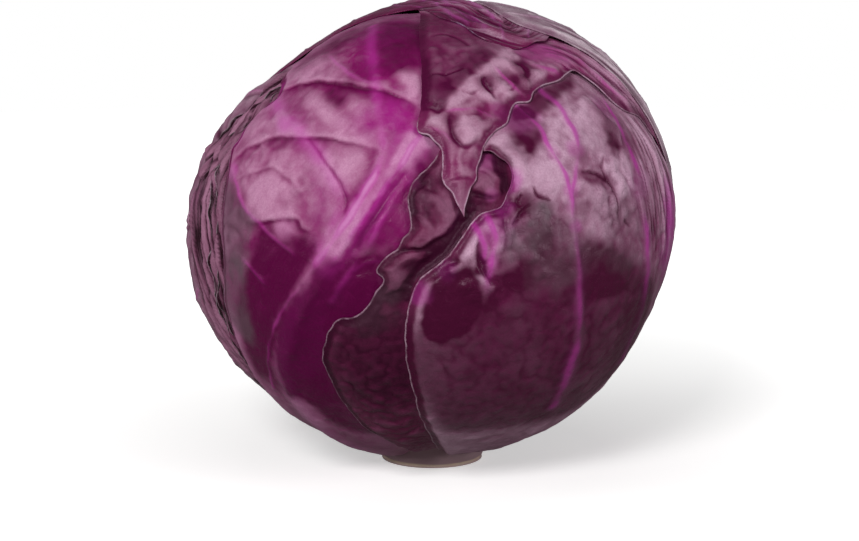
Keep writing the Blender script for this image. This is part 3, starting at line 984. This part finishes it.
centre_skin = waxy_leaf(
    "crumpled_leaf_dark_plum", "#641c42", "#340420", "#885470", "#963c78", "#ab7098", "#b08ba0",
    gloss=0.46)
lay_leaf(
    "centre_leaf",
    midrib=[[30, -77], [28, -40], [26, -10], [24, 15], [26, 48]],
    left=[
        [-10, -77], [-18, -60], [-26, -36], [-26, -18], [-20.5, -10.5], [-18, -10], [-15.5, -8.5],
        [-13.5, -6], [-12.5, -4], [-11, -2.5], [-10.5, -1], [-12, 0.5], [-11, 2.5], [-9.5, 4],
        [-7, 6], [-6.5, 7.5], [-5, 9], [-4.5, 11.5], [-5, 13.5], [-5.5, 16], [-4.8, 19], [-3, 22],
        [-0.5, 24], [1.5, 27], [4, 31], [8, 38], [26, 48],
    ],
    right=[[72, -77], [70, -60], [74, -30], [76, 2], [70, 30], [48, 47], [26, 48]],
    material=centre_skin, press=1.9, wave=16, wave_size=7, pucker=0.25, pucker_size=5.5,
    rib=(3, 0.2), rib_tint=0,
    folds=[
        ([[-8, 5.3], [-4.5, 6], [-2, 6], [0, 7], [2, 8.2], [3.7, 10], [5, 12.5], [5.2, 16.5]], 2.6,
          4, 0.5),
        ([[-19, -9], [-14, -7], [-9, -4], [-5, -3]], 1, 3, 0.3),
    ],
    veins=[([[5.8, 16], [5.9, 13.5], [5, 11.3], [3.6, 9.3], [1, 8], [-1, 7]], 0.5, 0.4, 0.9, 0.3)],
    ridges=[
        ([[-4.8, 19.5], [-2.5, 18], [0, 17], [2, 15.5], [3.5, 13.5], [4, 11.5]], 0.9, 0.6, 1.8),
        ([[-5, 13], [-2.5, 12.5], [-0.5, 11], [0.7, 8.7]], 0.8, 0.6, 1.6),
        ([[-9, 2.7], [-7, 4], [-4.5, 4.6], [-1.5, 5], [0, 4.2]], 0.9, 0.5, 1),
        ([[-11.5, 1.6], [-8, 1.8], [-6.5, 2.8], [-4.5, 3.7], [-1, 3.6]], 0.8, 0.5, 1),
        ([[-12, -2], [-9, -0.5], [-4, 1]], 1, 2, 3),
        ([[10, 23.5], [13, 22.8], [15, 20.5]], 0.5, 1, 1),
        ([[1, 24.5], [-0.5, 21], [1, 18.5]], 0.9, 1.4, 1.4),
    ],
    creases=[
        ([[8.5, 18.3], [11.5, 17.2], [14, 16.6], [16, 17.6]], 0.7, 0.9),
        ([[11, 22.7], [13, 22], [14.7, 20.3]], 0.4, 0.5),
        ([[-6.5, -1.5], [-4, -2.6], [-2.5, -1.5]], 0.5, 0.5),
        ([[-1, 20.5], [-3, 18.5], [-4.5, 17]], 0.6, 0.5),
        ([[9, 13.5], [6, 9.5], [3.5, 6], [0.5, 3.4], [-2.5, 1.2], [-4.5, -1.2], [-6.5, -6]], 1.3,
          1.2),
    ],
    bulges=[
        ([2.5, 16.5], 2.4, 0.9), ([-3, 15.5], 2.4, 0.6), ([13, 19.5], 2.6, 0.9),
        ([-7, -1], 3.5, 0.8),
    ],
    curls=[([-5.3, 15], 4, 28, 2.5), ([-11.5, 0], 3, 45, 2.5), ([-14, -6], 4, 30, 2.5)],
    wax=0.06,
    paint={
        "dark": [
            ([[15.5, 27], [17.5, 26], [18.5, 23], [18, 18], [16, 16], [15.3, 18], [15.8, 20.5],
              [15.2, 24]], 0.8, 0.9),
            ([[6.5, 15], [8.5, 12], [6.5, 9], [3.5, 5], [0, 1.5], [-3, 0], [-2, 3.5], [2, 7],
              [5, 10]], 1, 0.9),
            ([-1.5, 18.8], 2.2, 0.25), ([-2.5, 14.7], 2.4, 0.35), ([0.5, 20.8], 2.4, 0.2),
            ([-12, -22], 16, 0.7), ([10, 15.5], 3, 0.6), ([-4.5, 2], 2, 0.5),
            ([13.5, 25.5], 2.5, 0.4), ([-3, 17], 5, 0.2), ([-8, -2], 5, 0.3), ([0, 3], 4, 0.3),
            ([3, 20], 3, 0.2), ([-15, -7], 6, 0.3), ([-6.5, 2.4], 2, 0.3),
            ([[9.5, 13.5], [7, 9.3], [4.5, 5.8], [1, 3], [-2, 0.8], [-4, -1.4], [-6, -6],
              [-7.4, -5], [-5.4, -0.4], [-3, 2], [0, 4.2], [3, 7], [6, 11]], 0.7, 0.9),
        ],
        "wax": [
            ([[10.5, 24], [14, 25], [15.3, 20.5], [15, 19], [14, 17.5], [11.5, 18], [9.5, 19]],
              0.9, 0.65),
            ([3, 17], 2.2, 0.35), ([2.9, 14], 1.8, 0.35), ([1.8, 10.5], 1.6, 0.2),
            ([[0.5, 25], [2.5, 25.5], [2.5, 21.5], [-2.5, 21.5]], 1.2, 0.4), ([-7.5, -1], 3.4, 0.2),
            ([-4.7, 4.4], 2, 0.25),
        ],
        "vein": [([13.5, 17.2], 1.4, 0.4), ([13, 25], 3, 0.4), ([-4.5, 20], 1.6, 0.3)],
        "dry": [([-9, -2], 4, 0.2), ([-13, -8], 5, 0.3)],
    },
)


# --- The left leaf ------------------------------------------------------------------------------
# The broad magenta leaf on the left of the front. A midrib made of a sheaf of ribs climbs it from
# the stem to the right, side veins fan out to the left, and the blade bulges and sags in creases.

left_skin = waxy_leaf(
    "bloomed_leaf_magenta", "#82145d", "#550038", "#c28bac", "#a42886", "#cc85bb", "#b48ea8")
lay_leaf(
    "left_leaf",
    midrib=[
        [-42, -77], [-44, -48], [-40, -26], [-33, -12], [-26, -1], [-20, 7], [-15, 14], [-10, 22],
        [-2, 30], [6, 42], [28, 80],
    ],
    left=[
        [-85, -77], [-70, -58], [-60, -32], [-56, -8], [-55, 1.5], [-56, 6], [-57.5, 13.5],
        [-58.5, 18], [-60.5, 22], [-61.5, 24.5], [-60, 27], [-60.5, 29.5], [-59.5, 33], [-58, 36.5],
        [-54.8, 38.7], [-56, 41], [-63, 45], [-67, 49], [-69, 54], [-73, 62], [-78, 70], [-76, 77],
        [-40, 82], [28, 80],
    ],
    right=[[-5, -77], [12, -60], [26, -32], [36, 0], [42, 30], [42, 58], [28, 80]],
    material=left_skin, press=2, wave=12, pucker=0.1,
    puckers=[([-50, 4], 8, 0.25)],
    pucker_size=11, rib=(5, 1.5), rib_tint=0.2,
    veins=[
        ([[-26.5, -0.5], [-23.3, 4], [-20, 8.7], [-17, 14], [-14.2, 19], [-12.3, 23], [-11.8, 27]],
          1.3, 1.5, 0.5, 1),
        ([[-52, -36], [-41, -18], [-33.3, -7.6], [-28.4, -2.5], [-24.5, 3], [-22, 6.5]], 0.5, 0.7,
          0.3, 0.6),
        ([[-36, -22], [-27, -5], [-20.3, 4.3], [-15.5, 12.6], [-12.4, 17.5], [-9.8, 22.6],
          [-7, 28], [-5, 31.5], [-3, 35]], 1.8, 1.5, 0.45, 0.3),
        ([[-22, 1.3], [-18.6, 6], [-13.4, 13.8], [-10.3, 18.8], [-7.2, 24], [-5, 28], [-3.4, 31],
          [-1, 35]], 1, 1.1, 0.4, 0.9),
        ([[-24, -8], [-18.5, -1], [-16, 3], [-12.7, 8.6], [-10, 13.5], [-7, 18], [-4, 22]], 1.2, 1,
          0.4, 0.55),
        ([[-18.5, -0.8], [-16, 1.2], [-13.4, 2.4], [-10, 3]], 0.8, 0.6, 0.3, 0.6),
        ([[-20.5, 8.7], [-17.4, 14], [-14.3, 19], [-12.3, 23], [-11.9, 27.3], [-13, 31.4],
          [-13.8, 34.2], [-15.5, 39], [-19, 47], [-26.5, 57.5], [-40, 68]], 1.8, 2.8, 0.35, 0.45),
        ([[-24.5, 2], [-23, 7], [-22, 10.7], [-21.5, 14.4], [-22.5, 18.4], [-26, 23], [-30, 26.6],
          [-35, 29.8], [-43, 33.5], [-48, 36], [-56, 39]], 3.2, 2.8, 0.5, 0.5),
        ([[-30.5, 1.5], [-31.3, 3.5], [-34, 5], [-38, 7], [-41.5, 9], [-45, 11], [-48, 13],
          [-51, 16], [-57, 21]], 0.8, 0.8, 0.35, 0.6),
        ([[-17, 43], [-24, 45], [-33, 48.5], [-45, 53]], 0.9, 0.6, 0.3, 0.4),
        ([[-38.5, -5], [-40.4, -3], [-43.3, -1], [-47, 1.5]], 0.7, 0.6, 0.4, 0.5),
    ],
    folds=[
        ([[-56, 40.7], [-50.5, 41.5], [-45, 43], [-39, 44], [-28.5, 43.5], [-23, 43], [-17, 42.3],
          [-9.5, 41], [-4, 38.5]], 1.2, 6, 0.2),
        ([[-57, 20.5], [-54.5, 23], [-51, 25.5], [-47, 27], [-41.5, 28.5], [-34, 29], [-22.5, 29],
          [-12.5, 26.5]], 0.8, 5, 0.2),
        ([[-52, 17.3], [-48.5, 19], [-44.5, 20], [-40.5, 21], [-36.5, 20], [-32.5, 18],
          [-29.5, 15.5]], 0.4, 4, 0.15),
        ([[-46, 9], [-40.5, 9.5], [-37, 10], [-33.5, 10.5], [-31, 10.5], [-29.5, 9], [-27, 8]],
          0.8, 5, 0.2),
    ],
    ridges=[
        ([[-40, 40], [-33, 37], [-27, 33.5], [-22, 31.5]], 0.6, 3.5, 3),
        ([[-26, 40], [-20, 36.5], [-17, 33]], 0.4, 3.5, 3),
        ([[-12, 48], [-7, 45], [-4, 41]], 0.8, 4, 2.5),
        ([[-47, 34.8], [-41, 32], [-35, 30]], 0.7, 1.5, 3.5),
    ],
    creases=[
        ([[-34, 41], [-28, 38.7], [-25, 36]], 2.4, 0.3),
        ([[-19, 12], [-19.3, 15.6], [-20, 17.3], [-23, 21], [-27.4, 25], [-32.6, 29]], 0.6, 0.5),
        ([[-19, 2.5], [-16, 7], [-13.3, 11.4], [-11, 15], [-8.6, 19], [-6, 23]], 0.8, 0.6),
    ],
    bulges=[
        ([-41, 16], 7, 1.2), ([-37, 24], 6, 0.5), ([-34, 8], 3.5, 0.7), ([-30, 54], 10, 0.7),
        ([-19, 22], 5, 0.4), ([-52, 30], 4, 0.6), ([-8, 10], 5, 0.3), ([-48, 48], 4, 0.7),
    ],
    curls=[([-60, 26], 5, 22, 3), ([-59, 46], 6, 25, 3), ([-54.8, 38.7], 2, 5, 3)],
    wax=0.5,
    paint={
        "dark": [
            ([[-41, 8.7], [-37, 7.2], [-30, 7.5], [-28, 7], [-25, 5.5], [-27.5, 1.5], [-31.5, -3],
              [-37, -9], [-42, -20], [-52, -30], [-50, -12], [-44, -2], [-42.5, 4.5]], 3.2, 0.8),
            ([[-43, 1], [-36, 2], [-30, 0], [-32, -8], [-40, -32], [-52, -32]], 4, 0.3),
            ([[-21, -3], [-16, 2], [-10, 4], [-7, 7], [-4, 10], [0, 8], [4, -10], [-2, -50],
              [-30, -50], [-34, -22], [-26, -8]], 2.4, 0.85),
            ([[-16.5, 6], [-13, 11.8], [-9.7, 16], [-6, 21], [-3, 24], [0, 20], [-3, 12], [-6, 8],
              [-11, 3], [-17, 1]], 1.6, 0.45),
            ([-50, 10], 5, 0.4), ([-49, -6], 8, 0.5), ([-54, 14], 3, 0.4),
            ([[-30.5, 68], [-8, 70], [-4, 55], [-5, 50], [-15.5, 47], [-22, 54]], 3, 0.6),
            ([[-44, -34], [-33.5, -9], [-28.6, -3.4], [-25, 1.6], [-20.5, 3.5], [-17, 3], [-14, 0],
              [-24, -34]], 2.2, 0.65),
            ([[-31, 3], [-27.5, 3], [-24.5, 1.5], [-21, 2.5], [-17, 2], [-16, -2], [-26, -34],
              [-50, -34], [-40, -14], [-33, -3]], 2.5, 0.28),
            ([-45, 62], 7, 0.4), ([-52, 53], 7, 0.35), ([-24, 47], 4, 0.25), ([-1.5, 24.5], 3, 0.6),
            ([-12, 66], 12, 0.3), ([-29, 40], 4, 0.2),
        ],
        "wax": [
            ([[-47, 16], [-42, 19.5], [-36, 19.5], [-32, 17], [-32, 12], [-41, 11], [-45.5, 12.5]],
              2.5, 0.4),
            ([[-40.5, 41.5], [-34, 37.5], [-28, 33.5], [-22, 31.5], [-24, 37], [-30.5, 40.5],
              [-36.5, 42.3]], 2, 0.05),
            ([-20.5, 49], 6, -0.3),
            ([[-46.5, 34.5], [-37.5, 31.5], [-33.5, 29.5], [-37, 29.3], [-45, 29.8],
              [-50.5, 31.5]], 1.8, 0.4),
            ([[-7.6, 23], [-5, 28.5], [-2, 32], [0.5, 30.5], [-3, 26], [-6, 21.8]], 1, 0.5),
            ([[-22, 3], [-16.5, 12], [-12.5, 18.5], [-8, 27.5], [-5.5, 32], [-4, 31], [-7.5, 25],
              [-11.5, 17], [-15.5, 10.5], [-20, 4]], 1, 0.3),
            ([[-18.6, 5], [-13, 13.8], [-10, 18.8], [-6.8, 24], [-3.4, 31], [-5.4, 27], [-8.5, 22],
              [-12, 16.5], [-16.5, 9]], 0.8, -0.6),
            ([-21, 26], 5, 0.45), ([-5, 42.5], 4.5, 0.35), ([-34.5, 8.3], 3, 0.4),
            ([-47, 48], 5, 0.3), ([-10, 58], 16, -0.3), ([-7, 14], 9, -0.5), ([-28, 60], 9, -0.35),
            ([-10, 36.5], 6.5, -0.5), ([-42, 2], 7, -0.3), ([-56, 24], 3, -0.2),
            ([-28, 14], 5, -0.1), ([-28, 21], 5, 0.2), ([-18, 22], 4, 0.2),
        ],
        "vein": [
            ([[-32, 28.5], [-27, 25.5], [-23.5, 22], [-21, 18], [-21, 13], [-22.5, 8.5], [-27, 10],
              [-28, 17], [-30, 22]], 3.5, 0.2),
            ([[-26, 0], [-21, 7], [-18.5, 10], [-14, 18], [-10, 29], [-5, 33], [0, 31], [-6, 19],
              [-11, 11], [-17, 3], [-22, -1]], 2, 0.3),
            ([[-44, -28], [-33.5, -8], [-26, 0], [-20, 3], [-24, -9], [-32, -28]], 2, 0.12),
            ([[-50, 37.5], [-44, 34.5], [-37, 31.5], [-32, 28], [-36, 28], [-43, 30.5],
              [-48, 33.5]], 2, 0.3),
            ([-54.7, 19], 2, 0.45), ([-57, 42.5], 2.5, 0.4), ([-53.5, 38], 3, 0.35),
            ([-60, 27], 3, 0.3), ([-14, 34], 7, 0.25), ([-11, 11], 6, 0.1), ([-34, 8], 3, 0.2),
            ([-25, 62], 8, 0.2), ([-41, 31.8], 3, 0.3), ([-8, 37], 6, 0.15),
        ],
        "dry": [
            ([[-57, 20], [-51.5, 16], [-48, 12.5], [-42, 9.5], [-43.5, 4.5], [-45, -1], [-49, -20],
              [-56, -14], [-55, 1.5], [-56.5, 8], [-57.5, 15]], 2, 0.65),
            ([-48.5, -2.5], 3, 0.3),
        ],
        "edge": [([-64, 48], 12, -0.6)],
    },
)


# --- The three left edge leaves -----------------------------------------------------------------
# They wrap the front one inside the other, and only a ruffled strip of each shows at the left,
# stepping back from the left leaf's edge.

edge_skin = waxy_leaf(
    "ruffled_leaf_grey_mauve", "#602645", "#1c020c", "#a2718b", "#8b3a70", "#a96f97", "#cfb9c4")
lay_leaf(
    "left_edge_leaf_1",
    midrib=[[-18, -78], [-14, -40], [-8, 0], [-8, 40], [-30, 82]],
    left=[
        [-50, -77], [-62, -50], [-62, -18], [-60.5, -2], [-61, 8], [-64, 14.5], [-66, 21],
        [-66, 26], [-64, 31], [-62, 37], [-68, 46], [-73, 55], [-79, 65], [-82, 74], [-30, 82],
    ],
    right=[[15, -78], [36, -52], [44, -15], [46, 20], [44, 52], [25, 76], [-30, 82]],
    material=edge_skin, press=2.4,
    flow=[[-62, -50], [-61, -2], [-66, 15], [-67, 30], [-73, 54], [-80, 70]],
    folds=[
        ([[-59, -30], [-58, -4], [-59, 8], [-61.5, 16], [-63.5, 23], [-62, 31], [-61, 36]], -1.9,
          2.5, 0.7),
    ],
    pleat=0.9, pleat_size=(3.2, 70), wave=44, wave_size=7, ragged=1.6, wax=0.05,
    paint={
        "vein": [([-66, 14], 3, 0.4), ([-62, 36], 2, 0.5)],
        "dark": [([-59, 34], 3, 0.5), ([-65, 15], 40, 0.15)],
    },
)
lay_leaf(
    "left_edge_leaf_2",
    midrib=[[2, -78], [-5, -40], [-8, 0], [-8, 40], [-30, 84]],
    left=[
        [-30, -78], [-66, -56], [-67, -24], [-65, -6], [-65.5, 6], [-68, 13], [-71, 20], [-74, 25],
        [-71, 31], [-70, 39], [-75, 49], [-81, 59], [-90, 69], [-96, 76], [-30, 84],
    ],
    right=[[35, -78], [48, -55], [54, -22], [56, 12], [55, 48], [35, 76], [-30, 84]],
    material=edge_skin, press=2.6,
    flow=[[-66, -56], [-67, -6], [-73, 15], [-71, 30], [-81, 56], [-95, 72]],
    folds=[
        ([[-63, -20], [-62.5, 0], [-64, 9], [-67, 17], [-69, 24], [-67, 32], [-66, 40], [-71, 50]],
          -1.9, 2.5, 0.7),
        ([[-64.5, -20], [-64, -2], [-66, 10], [-69, 18], [-71.5, 25], [-69, 32], [-68, 40],
          [-73, 50]], -1.4, 2, 0.5),
    ],
    pleat=0.9, pleat_size=(3.2, 70), wave=46, wave_size=7, ragged=1.8, wax=0.15,
    paint={"vein": [([-72, 16], 4, 0.4)], "dark": [([-68, 30], 3, 0.4), ([-70, 15], 40, 0.15)]},
)
lay_leaf(
    "left_edge_leaf_3",
    midrib=[[-30, -78], [-30, -40], [-30, 0], [-30, 40], [-40, 85]],
    left=[
        [-60, -77], [-74, -52], [-76, -20], [-76, -4], [-79, 8], [-78, 14], [-84, 20], [-83, 25],
        [-77, 31], [-79, 38], [-85, 47], [-86, 52], [-93, 61], [-106, 70], [-120, 76], [-40, 85],
    ],
    right=[[0, -78], [12, -52], [18, -20], [22, 12], [22, 45], [15, 72], [-40, 85]],
    material=edge_skin, press=2.6,
    flow=[[-74, -52], [-78, -4], [-84, 16], [-79, 36], [-92, 60], [-115, 76]],
    folds=[
        ([[-69, -20], [-68.5, 0], [-71, 10], [-74, 18], [-76, 24], [-73, 32], [-74, 40],
          [-79, 51]], -1.9, 2.5, 0.7),
        ([[-72, -24], [-72.5, -2], [-75, 6], [-76, 14], [-80, 22], [-76, 31], [-77, 40],
          [-82, 50]], -1.9, 2.5, 0.7),
    ],
    pleat=0.9, pleat_size=(3.4, 60), wave=50, wave_size=8, ragged=2, wax=0.6,
    bulges=[([-80, 10], 5, 0.8), ([-83, 45], 5, 1)],
    paint={
        "vein": [([-78, 10], 5, 0.2)],
        "wax": [([-80, 9], 7, 0.65)],
        "dark": [([-80, 29], 3, 0.6)],
    },
)


# --- The left back leaf -------------------------------------------------------------------------
# The leaf under the others round the left of the back. Its edges lie under its neighbours on both
# sides, so its ribbed middle shows.

left_back_skin = waxy_leaf(
    "bloomed_leaf_dusky_purple", "#6c2b52", "#420b2c", "#b68fa4", "#92397a", "#b9779f", "#bda3b3")
lay_leaf(
    "left_back_leaf",
    midrib=[[-125, -78], [-126, -40], [-126, 0], [-124, 40], [-112, 70], [-90, 82]],
    left=[
        [-160, -78], [-182, -60], [-192, -30], [-195, 5], [-196, 40], [-190, 66], [-140, 79],
        [-90, 82],
    ],
    right=[
        [-90, -78], [-62, -58], [-54, -25], [-52, 10], [-50, 40], [-44, 66], [-60, 79], [-90, 82],
    ],
    material=left_back_skin, side_vein_count=8, pucker=0.3, wax=0.5, rib=(7, 2), rib_tint=0.8,
    creases=[
        ([[-84, 26], [-89, 25], [-96, 26]], 1.2, 0.8), ([[-82, 2], [-88, 2], [-95, 3]], 1, 0.7),
    ],
    paint={"dark": [([-110, -50], 20, 0.3)]},
)


# --- The inner head -----------------------------------------------------------------------------
# The tightly folded young leaves inside. None of them shows, so they keep their shape from the
# frame and get a plain skin: smooth, without wax, and clouded between two purples.

inner_skin, tree = new_material("young_leaf_purple")
place = add_node(tree, "TexCoord").outputs["Object"]
cloud = add_node(tree, "TexNoise", {"Vector": place, "Scale": 1 / (14 * MM), "Detail": 4.0})
young = add_node(tree, "Mix", {
    0: cloud, 6: linear("#6a2f58"), 7: linear("#95618a"),
}, data_type="RGBA")
shader = add_node(tree, "BsdfPrincipled", {"Base Color": young, "Roughness": 0.5})
add_node(tree, "OutputMaterial", [shader])
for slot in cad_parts["inner_head"].material_slots:
    slot.material = inner_skin


# --- Floor, light and camera --------------------------------------------------------------------
# White paper under the head and white all round it. The main soft box stands above the camera
# and to its left, and a weaker one lights each side.

paper_radius = 1.1
bpy.ops.mesh.primitive_circle_add(vertices=96, radius=paper_radius, fill_type="NGON")
paper = bpy.context.object
paper.name = "floor"
white_paper, tree = new_material("white_paper_floor")
place = add_node(tree, "TexCoord").outputs["Object"]
from_head = add_node(tree, "VectorMath", [place], operation="LENGTH")
# To the eye the paper is as white as what is round it, so only the head's shadow shows on it.
glow_strength = add_node(tree, "MapRange", [from_head, 0.06, 0.34, 0.42, 1.0])
seen = add_node(tree, "LightPath").outputs["Is Camera Ray"]
glow = add_node(tree, "Emission", [(1, 1, 1, 1), glow_strength])
white = add_node(tree, "BsdfDiffuse", [linear("#f4f3f2")])
lit = add_node(tree, "AddShader", [white, glow])
dim = add_node(tree, "BsdfDiffuse", [linear("#9a9796")])
both = add_node(tree, "MixShader", [seen, dim, lit])
add_node(tree, "OutputMaterial", [both])
paper.data.materials.append(white_paper)

world = bpy.data.worlds.new("white_studio")
world.use_nodes = True
tree = world.node_tree
tree.nodes.clear()
rays = add_node(tree, "LightPath").outputs
seen = add_node(tree, "Math", [
    rays["Is Camera Ray"], rays["Is Transmission Ray"],
], operation="MAXIMUM")
# White to the eye, but it lights the head only a little beside the soft boxes.
strength = add_node(tree, "MapRange", {0: seen, 3: 0.13, 4: 1.0})
sky = add_node(tree, "Background", [(1, 1, 1, 1), strength])
add_node(tree, "OutputWorld", [sky])
bpy.context.scene.world = world

head_middle = Vector((0, 0, middle_height * MM))


def soft_box(name, azimuth, elevation, distance, size, power):
    """A square soft box that faces the head. Azimuth 0 is in front, and grows to the right."""
    data = bpy.data.lights.new(name, "AREA")
    data.shape = "SQUARE"
    data.size = size
    data.energy = power
    box = bpy.data.objects.new(name, data)
    away = Vector(directions([[azimuth, elevation]])[0])
    box.location = head_middle + away * distance
    box.rotation_euler = away.to_track_quat("Z", "Y").to_euler()
    bpy.context.scene.collection.objects.link(box)


soft_box("front_soft_box", -18, 29, 1.2, 0.35, 10.0)
soft_box("left_soft_box", -75, 20, 1.3, 0.5, 3.0)
soft_box("right_soft_box", 62, 16, 1.3, 0.5, 6.0)

camera_data = bpy.data.cameras.new("camera")
camera_data.lens = 100
camera_data.sensor_width = 36
camera = bpy.data.objects.new("camera", camera_data)
camera_distance = 782.33
aim = Vector((-0.8, 0, 62.5)) * MM
back = Vector(directions([[0, 10]])[0])
camera.location = aim + back * camera_distance * MM
camera.rotation_euler = back.to_track_quat("Z", "Y").to_euler()
bpy.context.scene.collection.objects.link(camera)
bpy.context.scene.camera = camera
bpy.context.scene.view_settings.view_transform = "Standard"
